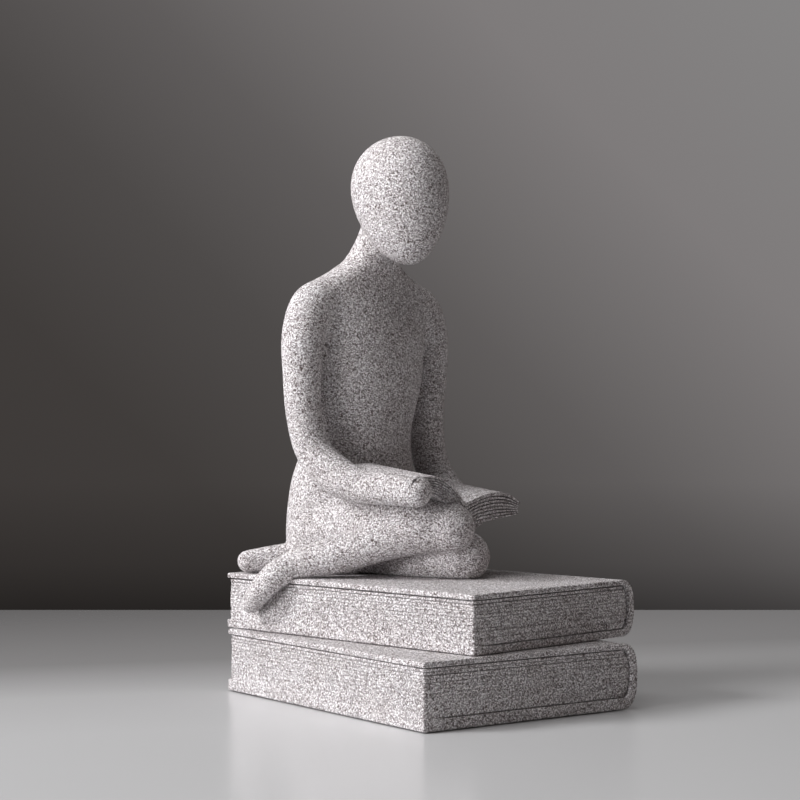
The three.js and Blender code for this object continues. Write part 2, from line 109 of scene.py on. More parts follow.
def feed(tree, socket, value):
    """Links a socket to another node's output, or sets it to a plain value."""
    if isinstance(value, bpy.types.NodeSocket):
        tree.links.new(value, socket)
    else:
        socket.default_value = value


def fill_in(tree, node, **values):
    """Feeds some of a node's inputs by name, with _ for a space."""
    for name, value in values.items():
        feed(tree, node.inputs[name.replace("_", " ")], value)


def add_node(tree, kind, **values):
    node = tree.nodes.new(kind)
    fill_in(tree, node, **values)
    return node


def sockets_of(node):
    """A node's sockets by identifier, for nodes where several sockets share a name."""
    return {s.identifier: s for s in [*node.inputs, *node.outputs]}


print("node helpers ready")

# %% Helpers for materials


def new_material(name, **values):
    material = bpy.data.materials.new(name)
    material.use_nodes = True
    shader = material.node_tree.nodes["Principled BSDF"]
    fill_in(material.node_tree, shader, **values)
    return material, material.node_tree, shader


def object_place(tree):
    return tree.nodes.new("ShaderNodeTexCoord").outputs["Object"]


def ramp(tree, source, stops):
    """A colour ramp with its own stops: pairs of a place and a colour."""
    node = add_node(tree, "ShaderNodeValToRGB", Fac=source)
    elements = node.color_ramp.elements
    while len(elements) < len(stops):
        elements.new(1.0)
    for element, (place, colour) in zip(elements, stops):
        element.position = place
        element.color = (*colour, 1)
    return node.outputs["Color"]


def multiplied(tree, first, second):
    """The product of two colours."""
    node = tree.nodes.new("ShaderNodeMix")
    node.data_type = "RGBA"
    node.blend_type = "MULTIPLY"
    sockets = sockets_of(node)
    for name, value in (("Factor_Float", 1.0), ("A_Color", first), ("B_Color", second)):
        feed(tree, sockets[name], value)
    return sockets["Result_Color"]


def bump(tree, height, strength, distance, invert=False, **values):
    """The normal of a surface raised by the height, or sunk by it if inverted."""
    node = add_node(tree, "ShaderNodeBump", Height=height, **values)
    fill_in(tree, node, Strength=strength, Distance=distance)
    node.invert = invert
    return node.outputs["Normal"]


print("material helpers ready")

# %% The stone itself
grains_per_metre = 2500.0
grit_fineness = 1.7
grain_relief, grit_relief = 0.5 / grains_per_metre, 0.22 / grains_per_metre


def warm(level):
    """A grey with a little warmth, as the coat has."""
    return (level, level * 0.948, level * 0.962)


def stone(name, ground):
    """Sprayed stone: cells for the grains, finer cells for the grit and painted pit shade, and
    slow clouds over all.
    """
    material, tree, shader = new_material(name, Roughness=0.92, Specular_IOR_Level=0.3)
    place = object_place(tree)

    def cells(scale, channel, stops):
        """The colours that the stops give to cells, and the distance from each cell's middle."""
        node = add_node(tree, "ShaderNodeTexVoronoi", Vector=place, Scale=scale)
        kind = add_node(tree, "ShaderNodeSeparateColor", Color=node.outputs["Color"])
        return ramp(tree, kind.outputs[channel], stops), node.outputs["Distance"]

    grain_stops = [
        (0.0, (ground * 0.12, ground * 0.085, ground * 0.075)),
        (0.18, (ground * 0.3, ground * 0.24, ground * 0.225)),
        (0.2, warm(ground * 0.76)),
        (0.66, warm(ground * 0.93)),
        (0.68, (0.97, 0.945, 0.955)),
        (1.0, (0.99, 0.98, 0.99)),
    ]
    # Painted shade of tiny pits: some of the finer cells are darkened in the colour.
    pit_shade_stops = [(0.0, (0.5, 0.45, 0.43)), (0.08, (0.78, 0.75, 0.74)), (0.16, (1, 1, 1))]
    cloud_stops = [(0.3, (0.95, 0.935, 0.93)), (0.7, (1.03, 1.03, 1.035))]
    grains, domes = cells(grains_per_metre, "Red", grain_stops)
    painted_pit_shade, steps = cells(grains_per_metre * grit_fineness, "Green", pit_shade_stops)
    clouds = add_node(tree, "ShaderNodeTexNoise", Vector=place, Scale=70.0, Detail=3.0)
    veil = ramp(tree, clouds.outputs["Fac"], cloud_stops)
    colour = multiplied(tree, multiplied(tree, grains, painted_pit_shade), veil)

    normal = bump(tree, domes, 1.0, grain_relief, invert=True)
    normal = bump(tree, steps, 0.8, grit_relief, invert=True, Normal=normal)
    fill_in(tree, shader, Base_Color=colour, Normal=normal)
    return material


figure_stone = stone("sprayed_figure", 0.59)
book_stone = stone("sprayed_books", 0.54)
print("stones:", figure_stone.name, book_stone.name)

# %% [markdown]
# ## Smooth limbs from a few stations
# A modeller in clay builds a limb from a few stations, each with a place and a thickness, and rubs
# the clay smooth between them. The same can be done with a spline: it passes through the stations,
# and an oval ring is set square to it every few millimetres. A curve object with a bevel would do
# for a plain tube, but rings in code also give the torso and the head, whose width and depth
# differ.

# %% A spline through stations


def span(points, t):
    """Where t, from 0 to 1, falls among the points: the gap's number, and the share of it."""
    place = t * (len(points) - 1)
    i = min(int(place), len(points) - 2)
    return i, place - i


def eased(b, c, leave, arrive, share):
    """A point between b and c, on the curve that has these slopes at b and at c."""
    cubic = 2 * b - 2 * c + leave + arrive
    square = 3 * c - 3 * b - 2 * leave - arrive
    return b + share * (leave + share * (square + share * cubic))


def spline(stations, t):
    """A point of the smooth curve through the stations: t is 0 at the first and 1 at the last."""
    stations = np.asarray(stations, float)
    i, share = span(stations, t)
    b, c = stations[i], stations[i + 1]
    a = stations[i - 1] if i > 0 else 2 * b - c
    d = stations[i + 2] if i + 2 < len(stations) else 2 * c - b
    gaps = [max(np.linalg.norm(q - p) ** 0.5, 1e-4) for p, q in ((a, b), (b, c), (c, d))]
    leave = ((b - a) / gaps[0] - (c - a) / (gaps[0] + gaps[1]) + (c - b) / gaps[1]) * gaps[1]
    arrive = ((c - b) / gaps[1] - (d - b) / (gaps[1] + gaps[2]) + (d - c) / gaps[2]) * gaps[1]
    return eased(b, c, leave, arrive, share)


def heading(stations, t):
    """The direction of the curve at t."""
    step = 1e-4
    ahead = spline(stations, min(1, t + step)) - spline(stations, max(0, t - step))
    return ahead / np.linalg.norm(ahead)


print("halfway along a test line:", spline([(0, 0, 0), (1, 0, 0), (2, 0, 0)], 0.5))

# %% Rings, and a skin over a stack of them
ring_sides = 48


def oval(centre, axis, side, half_width, half_depth):
    """A ring of points square to an axis. The side vector says where its width lies."""
    across = side - axis * side.dot(axis)
    across = across / np.linalg.norm(across)
    along = np.cross(axis, across)
    turn = np.linspace(0, 2 * math.pi, ring_sides, endpoint=False)[:, None]
    return centre + across * half_width * np.cos(turn) + along * half_depth * np.sin(turn)


def skin(rings):
    """Points and faces of a closed skin over a stack of rings, with a fan on each end."""
    sides = len(rings[0])
    points = np.vstack([*rings, rings[0].mean(axis=0), rings[-1].mean(axis=0)])
    last = (len(rings) - 1) * sides
    foot, crown = len(points) - 2, len(points) - 1
    faces = []
    for i in range(sides):
        j = (i + 1) % sides
        faces += [(r + i, r + j, r + j + sides, r + i + sides) for r in range(0, last, sides)]
        faces += [(foot, j, i), (crown, last + i, last + j)]
    return points, faces


def add_object(name, data):
    """An object at the origin, in the scene."""
    thing = bpy.data.objects.new(name, data)
    bpy.context.scene.collection.objects.link(thing)
    return thing


def new_piece(name, points, faces, axes):
    """A mesh object at the origin, with its place in its mesh."""
    mesh = bpy.data.meshes.new(name)
    mesh.from_pydata([tuple(p) for p in points], [], faces)
    mesh.transform(axes)
    mesh.validate()
    return add_object(name, mesh)


print("each ring has", ring_sides, "points")

# %% Limbs with domed ends
to_left = np.array([1.0, 0.0, 0.0])
upwards = np.array([0.0, 0.0, 1.0])
ring_steps = 8
dome_angles = np.radians([82, 68, 54, 40, 26, 13])


def limb(name, stations, side, grow=0.0):
    """A limb along its stations, each a point and a radius."""
    path = [s[:3] for s in stations]
    girth = [(s[3], i, 0) for i, s in enumerate(stations)]
    count = (len(stations) - 1) * ring_steps
    plan = [(0.0, -a) for a in dome_angles]
    plan += [(i / count, 0.0) for i in range(count + 1)]
    plan += [(1.0, a) for a in dome_angles[::-1]]
    rings = []
    for t, lift in plan:
        axis = heading(path, t)
        radius = spline(girth, t)[0] + grow
        centre = spline(path, t) + axis * radius * math.sin(lift)
        half_width = radius * math.cos(lift)
        rings.append(oval(centre, axis, side, half_width, half_width))
    return new_piece(name, *skin(rings), upper_axes)


def stations_of(rows):
    """Rows of left, forward, up and radius, as points with a radius."""
    return [(*at(left, forward, up), radius) for left, forward, up, radius in rows]


print("rings between two stations:", ring_steps)

# %% [markdown]
# ## Torso and head
# The body is a stack of level ovals: seat, hips, waist, chest, shoulders and neck. The head is a
# plain egg, fuller at the crown, and its narrow end points to the book. It has no face, because
# the ornament has none.

# %% Levels of the torso
torso_levels = [
    (0, 27, 21.5, -1),
    (16, 29.6, 22.8, 0),
    (38, 29, 22.6, 2.6),
    (58, 25.4, 18.8, 6.2),
    (80, 29.2, 18.4, 9.6),
    (102, 31, 16.6, 11),
    (119, 35, 11.6, 11.5),
    (126.5, 20.5, 11, 12),
    (131.5, 12.6, 10.6, 13.8),
    (139, 9.8, 10.2, 18),
    (155.5, 11.2, 11.7, 29.5),
]
rings_per_level = 6


def torso(name, grow=0.0):
    """The stack of ovals. A level has its height, half width, half depth and lean forward."""
    axis = [at(0, lean, up) for up, _, _, lean in torso_levels]
    girth = [(wide, deep, up) for up, wide, deep, _ in torso_levels]
    count = (len(torso_levels) - 1) * rings_per_level
    rings = []
    for i in range(count + 1):
        size = spline(girth, i / count) + grow
        centre = spline(axis, i / count)
        if i == 0:
            centre = centre - upwards * grow
        rings.append(oval(centre, upwards, to_left, size[0], size[1]))
    return new_piece(name, *skin(rings), upper_axes)


print("the torso's top level is", torso_levels[-1][0], "mm above the seat")

# %% The egg of the head
head_middle = at(0, 32, 155.5)
head_length, head_half_width, head_half_depth = 54.5, 18.8, 21.2
head_taper = 0.2
head_tilt = math.radians(14)
head_bands = 56


def head(name):
    axis = np.array([0.0, math.sin(head_tilt), math.cos(head_tilt)])
    rings = []
    for i in range(1, head_bands):
        turn = math.pi * i / head_bands
        rise = -math.cos(turn)
        full = math.sin(turn) * (1 + head_taper * rise)
        centre = head_middle + axis * rise * (head_length / 2)
        rings.append(oval(centre, axis, to_left, head_half_width * full, head_half_depth * full))
    return new_piece(name, *skin(rings), upper_axes)


print("the head is", head_length, "mm long")

# %% Arms as stations
shoulder_to_elbow = [
    (18, 11.5, 115, 8.5),
    (31, 11.5, 112, 9.3),
    (37.8, None, 100, 8.7),
    (38.3, None, 84, 8),
    (37.1, None, 66, 7.4),
]


def arm_rows(sign, hang, forearm):
    """An arm's stations. Below the shoulder, the upper arm hangs at one distance forward."""
    upper = [
        (sign * reach, hang if forward is None else forward, up, radius)
        for reach, forward, up, radius in shoulder_to_elbow
    ]
    return stations_of(upper + forearm)


right_forearm = [
    (-34.4, 15, 52, 7.6),
    (-31.5, 25, 42, 8.1),
    (-28, 38, 37.4, 6.8),
    (-24.5, 50, 37, 6.8),
    (-22.2, 61.5, 36.2, 6.6),
]
left_forearm = [(37.4, 12, 48, 7.6), (36, 18, 40, 7.3), (33.5, 29, 32, 6.8), (30.5, 42, 24, 6.7)]
lofts = {
    "right_arm": (arm_rows(-1, 12.2, right_forearm), to_left),
    "left_arm": (arm_rows(1, 10.8, left_forearm), to_left),
}
print("stations in the right arm:", len(lofts["right_arm"][0]))

# %% Legs as stations
leg_rows = {
    "right_thigh": [
        (-12, 8, 17, 15),
        (-8, 37, 20.8, 12.55),
        (-5, 54, 21.6, 11.9),
        (-3, 62.5, 20.8, 10.1),
    ],
    "right_lap": [
        (-16.5, 12, 20, 13),
        (-14.6, 32, 21.8, 12.2),
        (-11, 48, 21.8, 11.3),
        (-5, 58, 20.8, 10.4),
    ],
    "right_shin": [
        (-3, 62.5, 20.8, 9.15),
        (-17, 43.4, 16.4, 8.4),
        (-31.2, 23.1, 8.8, 7.7),
        (-41.4, 10.7, 4.7, 6.3),
        (-47.8, 6.4, 0.8, 5.7),
        (-49.9, 0.5, -5, 5.2),
        (-48.8, -7.6, -11.6, 4.1),
    ],
    "left_thigh": [(13, 8, 14, 14), (11, 36, 11.5, 12.55), (7.5, 60.5, 8.4, 10.6)],
    "left_shin": [
        (5, 59.5, 8.4, 9.7),
        (-0.5, 40, 7.8, 9.1),
        (-4.5, 18, 6.9, 7.6),
        (-14, -2, 6.6, 6.6),
        (-27, -11.5, 6.1, 5.8),
        (-39.3, -19.9, 4.7, 4.7),
    ],
}
lofts |= {part: (stations_of(rows), upwards) for part, rows in leg_rows.items()}
print("lofts:", list(lofts))

# %% [markdown]
# ## One skin, as the sprayed coat makes it
# The real figure is five castings under one coat, so no seam shows and the shoulders and hips run
# soft into each other, while a hand on a book or a leg on a leg keeps its crease. Here the parts
# are joined and remeshed into one voxel skin. A Smooth modifier then works only where a vertex
# group lets it, which is round the shoulders, the nape, the hips, the lap and the knees.

# %% Helpers that bake modifiers, join and cut


def bake(piece):
    """Puts what the modifiers make into the piece's own mesh, and removes them."""
    graph = bpy.context.evaluated_depsgraph_get()
    made = bpy.data.meshes.new_from_object(piece.evaluated_get(graph))
    old = piece.data
    piece.modifiers.clear()
    piece.data = made
    made.name = piece.name
    bpy.data.meshes.remove(old)
    return piece


def drop(*pieces):
    for piece in pieces:
        mesh = piece.data
        bpy.data.objects.remove(piece)
        bpy.data.meshes.remove(mesh)


def combined(piece, operation, *tools):
    """The piece joined with, cut by or kept within each tool."""
    for tool in tools:
        step = piece.modifiers.new("combine", "BOOLEAN")
        step.operation = operation
        step.solver = "MANIFOLD"
        step.object = tool
    return bake(piece)


def faces_of(piece):
    """How many triangles the piece comes to."""
    return sum(len(p.vertices) - 2 for p in piece.data.polygons)


print("mesh helpers ready")

# %% Join the parts and remesh them
voxel = 0.8 * mm
skin_piece = torso("skin")
parts = [head("part_head")]
parts += [limb(f"part_{name}", rows, side) for name, (rows, side) in lofts.items()]
combined(skin_piece, "UNION", *parts)
drop(*parts)
remesh = skin_piece.modifiers.new("coat", "REMESH")
remesh.mode = "VOXEL"
remesh.voxel_size = voxel
bake(skin_piece)
print("skin:", faces_of(skin_piece), "triangles")

# %% Soften the skin where the clay runs together
soft_spots = [
    (-31, 11, 113, 24, 1.0),
    (31, 11, 113, 24, 1.0),
    (0, 6, 142, 14, 1.0),
    (-19, 13, 28, 17, 1.0),
    (20, 20, 16, 18, 1.0),
    (-6, 54, 20, 13, 0.6),
    (-17, 34, 27, 13, 0.4),
    (6, 48, 7, 14, 0.8),
]
soft_repeats = 45


def soften(piece, spots):
    """Smooths the piece inside soft balls: left, forward, up, radius and strength."""
    count = len(piece.data.vertices)
    places = np.zeros(count * 3)
    piece.data.vertices.foreach_get("co", places)
    places = places.reshape(-1, 3)
    weights = np.zeros(count)
    for left, forward, up, radius, strength in spots:
        centre = np.array(upper_axes @ Vector(at(left, forward, up)))
        away = np.linalg.norm(places - centre, axis=1) / (radius * mm)
        weights = np.maximum(weights, strength * np.clip(2 - 2 * away, 0, 1))
    group = piece.vertex_groups.new(name="soft")
    for i in np.flatnonzero(weights > 0):
        group.add([int(i)], float(weights[i]), "REPLACE")
    smooth = piece.modifiers.new("soften", "SMOOTH")
    smooth.factor = 0.5
    smooth.iterations = soft_repeats
    smooth.vertex_group = group.name
    bake(piece)
    piece.vertex_groups.clear()


soften(skin_piece, soft_spots)
print("softened", len(soft_spots), "places")

# %% [markdown]
# ## Flat seat, and room for the open book
# The legs rest flat on the upper book, so a block as large as the book is cut away from under
# them. The foot hangs past the block, along the fore edge.

# %% Cut the seat flat
book_length, book_width = 141.0, 96.8
room_below = 30


def block(name, low, high, axes):
    """A plain box between two corners."""
    xs, ys, zs = zip(low, high)
    corners = [(x, y, z) for x in xs for y in ys for z in zs]
    faces = [(0, 1, 3, 2), (4, 6, 7, 5), (0, 4, 5, 1), (2, 3, 7, 6), (0, 2, 6, 4), (1, 5, 7, 3)]
    return new_piece(name, corners, faces, axes)


book_room = block(
    "book_room",
    (-book_width / 2 - bond, -book_length / 2 - bond, upper_bottom - room_below),
    (book_width / 2 + bond, book_length / 2 + bond, seat_level),
    upper_axes,
)
combined(skin_piece, "DIFFERENCE", book_room)
drop(book_room)
print("flat on the book:", faces_of(skin_piece), "triangles")

# %% [markdown]
# ## The open book
# An open book is a fan of leaves that start together at the spine and bow over to each side. It
# could be one solid with lines drawn on its ends, but the lines catch real shadows when each
# bundle of leaves is a thin bowed slab of its own, a little shorter or longer than its neighbours.

# %% Bowed leaves
leaf_width, leaf_height = 33.8, 37.0
left_leaves = [(0.26, 4.5, 11.8), (0.52, 7.4, 11.8), (0.76, 7.9, 9.9), (1, 5.6, 5.0)]
right_leaves = [(0.26, 5.6, 8.8), (0.52, 8.1, 7.8), (0.76, 7.4, 6.5), (1, 5, 4)]
gutter_depth, spine_half_width = 11.0, 4.0
bow_steps = 40


def bow(points):
    """A smooth line through points."""
    points = np.asarray(points, float)
    line = []
    for step in range(bow_steps + 1):
        i, share = span(points, step / bow_steps)
        b, c = points[i], points[i + 1]
        a, d = points[max(i - 1, 0)], points[min(i + 2, len(points) - 1)]
        line.append(eased(b, c, (c - a) / 2, (d - b) / 2, share))
    return np.array(line)


def leaf_fan(half_leaves, grow=0.0):
    """The top and the underside of one half of the open book.

    Each row of its leaves gives a share of the width, and the rise and the thickness there.
    """
    edge = leaf_width + grow
    top = [(0, grow)] + [(s * edge, rise + grow) for s, rise, _ in half_leaves]
    under = [(spine_half_width, -gutter_depth - grow)]
    under += [(s * edge, rise - thick - grow) for s, rise, thick in half_leaves]
    return bow(top), bow(under)


def leaf_solid(sign, under, top, half_length):
    """Points and faces of what lies between two lines, drawn out along y both ways."""
    outline = np.vstack([under, top[::-1]]) * [sign, 1]
    ring = np.array([(x, 0, z) for x, z in outline[::sign]])
    ends = [ring + np.array([0, y, 0]) for y in (-half_length, half_length)]
    count = len(ring)
    faces = []
    for i in range(count):
        j = (i + 1) % count
        faces.append((i + count, j + count, j, i))
    faces += [tuple(range(count)), tuple(range(count, 2 * count))[::-1]]
    return np.vstack(ends), faces


print("points along a leaf:", bow_steps + 1)

# %% The book's place in the lap
knee_level, gutter_over_knee = 20.8, 11.7
gutter_left, gutter_forward = 5, 45
book_place = (
    Matrix.Translation(Vector(at(gutter_left, gutter_forward, knee_level + gutter_over_knee)))
    @ Matrix.Rotation(math.radians(7), 4, "X")
    @ Matrix.Rotation(math.radians(10.5), 4, "Y")
)
print("gutter at", [round(v, 1) for v in book_place.translation])

# %% Make the bundles
bundles = 8
bundle_gap, most_of_bundle = 0.42, 0.4
width_play, length_play, shift_play = 0.008, 0.28, 0.08
random = np.random.default_rng(11)


def bundle_lines(top, under, k):
    """The underside and the top of a bundle, with a gap above all but the last."""
    low_line = under + (top - under) * (k / bundles)
    high_line = under + (top - under) * ((k + 1) / bundles)
    if k < bundles - 1:
        climb = high_line - low_line
        thick = np.linalg.norm(climb, axis=1)[:, None]
        gap = np.minimum(bundle_gap, thick * most_of_bundle)
        high_line = high_line - climb / np.maximum(thick, 0.01) * gap
    return low_line, high_line


open_points, open_faces = [], []
for sign, half_leaves in ((1, left_leaves), (-1, right_leaves)):
    top, under = leaf_fan(half_leaves)
    for k in range(bundles):
        low_line, high_line = bundle_lines(top, under, k)
        reach = [1 - random.uniform(0, width_play), 1]
        half_length = leaf_height / 2 - random.uniform(0, length_play)
        points, faces = leaf_solid(sign, low_line * reach, high_line * reach, half_length)
        first = sum(len(p) for p in open_points)
        open_points.append(points + [0, random.uniform(-shift_play, shift_play), 0])
        open_faces += [tuple(first + i for i in face) for face in faces]
lap_axes = upper_axes @ book_place
open_book = new_piece("open_book_leaves", np.vstack(open_points), open_faces, lap_axes)
print("open book:", faces_of(open_book), "triangles")

# %% [markdown]
# ## Closed books
# Each closed book is a cover, bent from board over spine to board, round a block of leaves. On the
# ornament all of it is one casting with soft edges. The cover is drawn as its end view and set
# ring by ring along its length, with the last rings drawn in, so that its edges are rounded like
# cast stone.

# %% Sizes of the two books
spine_swell, spine_wall, board_proud = 7.5, 3.6, 0.75
spine_fullness = 0.8
bottom_groove, top_groove = 0.38, 0.25
lip_rise, lip_depth = 0.44, 6.0
books = {
    "lower_book": dict(
        length=138.0,
        width=105.8,
        thickness=25.8,
        top=2.2,
        bottom=4.4,
        floor=lower_bottom,
        axes=lower_axes,
    ),
    "upper_book": dict(
        length=book_length,
        width=book_width,
        thickness=22.9,
        top=2.1,
        bottom=3.0,
        floor=upper_bottom,
        axes=upper_axes,
    ),
}
print("books:", {node: (book["length"], book["width"]) for node, book in books.items()})

# %% The end view of a cover
quarter = math.pi / 2


def arc(centre_x, centre_z, half_x, half_z, first, last, count=24, fullness=1.0):
    """A part of an ellipse. A fullness below 1 swells it towards its corners."""
    line = []
    for a in np.linspace(first, last, count):
        x, z = math.cos(a), math.sin(a)
        x = math.copysign(abs(x) ** fullness, x)
        z = math.copysign(abs(z) ** fullness, z)
        line.append((centre_x + half_x * x, centre_z + half_z * z))
    return line


def straight(a, b, count=20):
    """The points between a and b, without the two themselves."""
    a, b = np.array(a), np.array(b)
    return [tuple(a + (b - a) * s) for s in np.linspace(0, 1, count)[1:-1]]


def cover_view(book):
    """The outline of a cover seen from its tail: outer line, top lip, inner line, bottom lip."""
    lip, small = 0.8, 0.5
    fore, joint = -book["width"] / 2, book["width"] / 2 - spine_swell
    thick, top, bottom = book["thickness"], book["top"], book["bottom"]
    inner_half = (thick - top - bottom) / 2
    inner_middle, inner_swell = bottom + inner_half, spine_swell - spine_wall

    outer = straight((fore + lip, 0), (joint, 0))
    spine = (joint, thick / 2, spine_swell, thick / 2)
    outer += arc(*spine, -quarter, quarter, fullness=spine_fullness)
    outer += straight((joint, thick), (fore + lip, thick))
    top_lip = arc(fore + lip, thick - lip, lip, lip, quarter, 2 * quarter, 6)
    small_top = (fore + small, thick - top + small, small, small)
    top_lip += arc(*small_top, 2 * quarter, 3 * quarter, 5)

    inner = straight((fore + small, thick - top), (joint, thick - top))
    inner_spine = (joint, inner_middle, inner_swell, inner_half)
    inner += arc(*inner_spine, quarter, -quarter, fullness=spine_fullness)
    for x, _ in straight((joint, 0), (fore + small, 0)):
        inner.append((x, bottom + (lip_rise if x < fore + lip_depth else 0)))
    small_bottom = (fore + small, bottom + lip_rise - small, small, small)
    bottom_lip = arc(*small_bottom, quarter, 2 * quarter, 5)
    bottom_lip += arc(fore + lip, lip, lip, lip, 2 * quarter, 3 * quarter, 6)
    return np.array(outer + top_lip + inner + bottom_lip), len(outer), len(top_lip)


print("points round a cover:", len(cover_view(books["upper_book"])[0]))

# %% Set the view along the length
cover_rounding = 0.6
rounding_angles = np.radians([0, 22, 45, 66, 84])
cover_rings = 36


def drawn_in(view, inset):
    """The outline moved inwards by an inset."""
    ahead, behind = np.roll(view, -1, axis=0), np.roll(view, 1, axis=0)
    along = ahead - behind
    length = np.maximum(np.linalg.norm(along, axis=1), 1e-9)[:, None]
    inwards = np.stack([-along[:, 1], along[:, 0]], axis=1) / length
    return view + inwards * inset


def end_of(first, side, lip):
    """The faces that close one end of a cover: a strip between its two lines, and two lips."""
    total = 2 * (side + lip)
    outer = [first + i for i in range(side)]
    inner = [first + side + lip + i for i in range(side)][::-1]
    strip = [(outer[i], outer[i + 1], inner[i + 1], inner[i]) for i in range(side - 1)]
    top_lip = [first + i for i in range(side - 1, side + lip + 1)]
    bottom_lip = [first + i % total for i in range(total - lip - 1, total + 1)]
    return [*strip, tuple(top_lip), tuple(bottom_lip)]


def cover(name, book):
    view, side, lip = cover_view(book)
    ends = []
    for a in rounding_angles:
        y = book["length"] / 2 - cover_rounding + cover_rounding * math.sin(a)
        ends.append((y, cover_rounding * (1 - math.cos(a))))
    middle = np.linspace(-ends[0][0], ends[0][0], cover_rings)
    plan = [(-y, inset) for y, inset in ends[:0:-1]] + [(y, 0.0) for y in middle] + ends[1:]
    rings = []
    for y, inset in plan:
        x, z = drawn_in(view, inset).T
        rings.append(np.stack([x, np.full(len(x), y), z + book["floor"]], axis=1))
    count = len(view)
    last = (len(rings) - 1) * count
    faces = []
    for r in range(0, last, count):
        for i in range(count):
            j = (i + 1) % count
            faces.append((r + count + i, r + count + j, r + j, r + i))
    faces += end_of(0, side, lip)
    faces += [face[::-1] for face in end_of(last, side, lip)]
    return new_piece(name, np.vstack(rings), faces, book["axes"])


covers = {node: cover(f"{node}_cover", book) for node, book in books.items()}
print({name: faces_of(piece) for name, piece in covers.items()})

# %% [markdown]
# ## Blocks of leaves with Geometry Nodes
# A block of leaves is one bundle repeated up the height of the book. That is what Geometry Nodes
# are good at: one slab goes in, a column of points carries a copy of it on each, and every copy
# gets a slightly different length, place and thickness from a fixed seed. Near the spine the block
# swells, so each copy is also stretched by a half ellipse that depends on its height.

# %% One slab of leaves
slab_rim, slab_corner = 0.1, 1.1


def block_width(book):
    """From the fore edge of the leaves to where the spine starts to swell."""
    return book["width"] - spine_swell - board_proud


def slab(name, book, count):
    """A thin slab with rounded rims. Its fore edge lies at x = 0 and its underside at z = 0."""
    room = book["thickness"] - book["top"] - book["bottom"]
    height = (room - bottom_groove - top_groove) / count
    width, half = block_width(book), book["length"] / 2 - board_proud
    rim, corner = slab_rim, slab_corner
    soft = rim * 0.3
    profile = [(rim, 0), (soft, soft), (0, rim)]
    profile += [(0, height - rim), (soft, height - soft), (rim, height)]
    corners = [
        (width - corner, half - corner, 0),
        (corner, half - corner, 90),
        (corner, corner - half, 180),
        (width - corner, corner - half, 270),
    ]
    rings = []
    for inset, z in profile:
        ring = []
        for x, y, first in corners:
            for a in np.radians([first, first + 30, first + 60, first + 90]):
                reach = corner - inset
                ring.append((x + reach * math.cos(a), y + reach * math.sin(a), z))
        rings.append(np.array(ring))
    return new_piece(name, *skin(rings), Matrix.Scale(mm, 4)), height


print("slab ready")

# %% Helpers for the tree


def maths(tree, operation, *values):
    """The result of a Math node."""
    node = tree.nodes.new("ShaderNodeMath")
    node.operation = operation
    for socket, value in zip(node.inputs, values):
        feed(tree, socket, value)
    return node.outputs[0]


def chance(tree, seed, number, low, high):
    """A random number for each point. Every use has its own number, added to the seed."""
    node = tree.nodes.new("FunctionNodeRandomValue")
    sockets = sockets_of(node)
    feed(tree, sockets["Min_001"], low)
    feed(tree, sockets["Max_001"], high)
    feed(tree, sockets["Seed"], maths(tree, "ADD", seed, number))
    return sockets["Value_001"]


def vector(tree, x, y, z):
    return add_node(tree, "ShaderNodeCombineXYZ", X=x, Y=y, Z=z).outputs[0]


print("tree helpers ready")

# %% The tree that stacks slabs
thinning_upwards, least_length = 0.23, 0.9965
forward_play, sideways_play = 0.35, 0.9


def stack_tree():
    """A column of slabs. Height and chance give each its size, and chance gives its place."""
    tree = bpy.data.node_groups.new("leaf_stack", "GeometryNodeTree")
    for name, kind in (
        ("Slab", "Geometry"),
        ("Count", "Int"),
        ("Rise", "Float"),
        ("Swell", "Float"),
        ("Unevenness", "Float"),
        ("Seed", "Int"),
        ("Finish", "Material"),
    ):
        tree.interface.new_socket(name, in_out="INPUT", socket_type=f"NodeSocket{kind}")
    tree.interface.new_socket("Leaves", in_out="OUTPUT", socket_type="NodeSocketGeometry")
    given = tree.nodes.new("NodeGroupInput").outputs
    count, seed, spread = given["Count"], given["Seed"], given["Unevenness"]

    offset = vector(tree, 0, 0, given["Rise"])
    column = add_node(tree, "GeometryNodeMeshLine", Count=count, Offset=offset)
    index = tree.nodes.new("GeometryNodeInputIndex").outputs[0]
    middle = maths(tree, "DIVIDE", maths(tree, "ADD", index, 0.5), count)
    slope = maths(tree, "SUBTRACT", maths(tree, "MULTIPLY", middle, 2.0), 1.0)
    square = maths(tree, "SUBTRACT", 1.0, maths(tree, "MULTIPLY", slope, slope))
    bulge = maths(tree, "SQRT", maths(tree, "MAXIMUM", square, 0.0))
    stretch = maths(tree, "ADD", 1.0, maths(tree, "MULTIPLY", bulge, given["Swell"]))
    less = maths(tree, "MULTIPLY", middle, thinning_upwards)
    less = maths(tree, "MULTIPLY", less, chance(tree, seed, 3, 0.3, 1.0))
    thin = maths(tree, "SUBTRACT", 1.0, less)
    size = vector(tree, stretch, chance(tree, seed, 5, least_length, 1.0), thin)

    forward = maths(tree, "MULTIPLY", chance(tree, seed, 7, 0.0, spread), forward_play)
    most = maths(tree, "MULTIPLY", spread, sideways_play)
    sideways = maths(tree, "MULTIPLY", chance(tree, seed, 9, -1.0, 1.0), most)
    moved = add_node(
        tree,
        "GeometryNodeSetPosition",
        Geometry=column.outputs["Mesh"],
        Offset=vector(tree, forward, sideways, 0),
    )
    copies = add_node(
        tree,
        "GeometryNodeInstanceOnPoints",
        Points=moved.outputs["Geometry"],
        Instance=given["Slab"],
        Scale=size,
    )
    real = add_node(tree, "GeometryNodeRealizeInstances", Geometry=copies.outputs["Instances"])
    finish = add_node(
        tree,
        "GeometryNodeSetMaterial",
        Geometry=real.outputs["Geometry"],
        Material=given["Finish"],
    )
    add_node(tree, "NodeGroupOutput", Leaves=finish.outputs["Geometry"])
    return tree


leaf_stack = stack_tree()
inputs = [item for item in leaf_stack.interface.items_tree if item.in_out == "INPUT"]
socket_of = {item.name: item.identifier for item in inputs}
print("inputs:", list(socket_of))

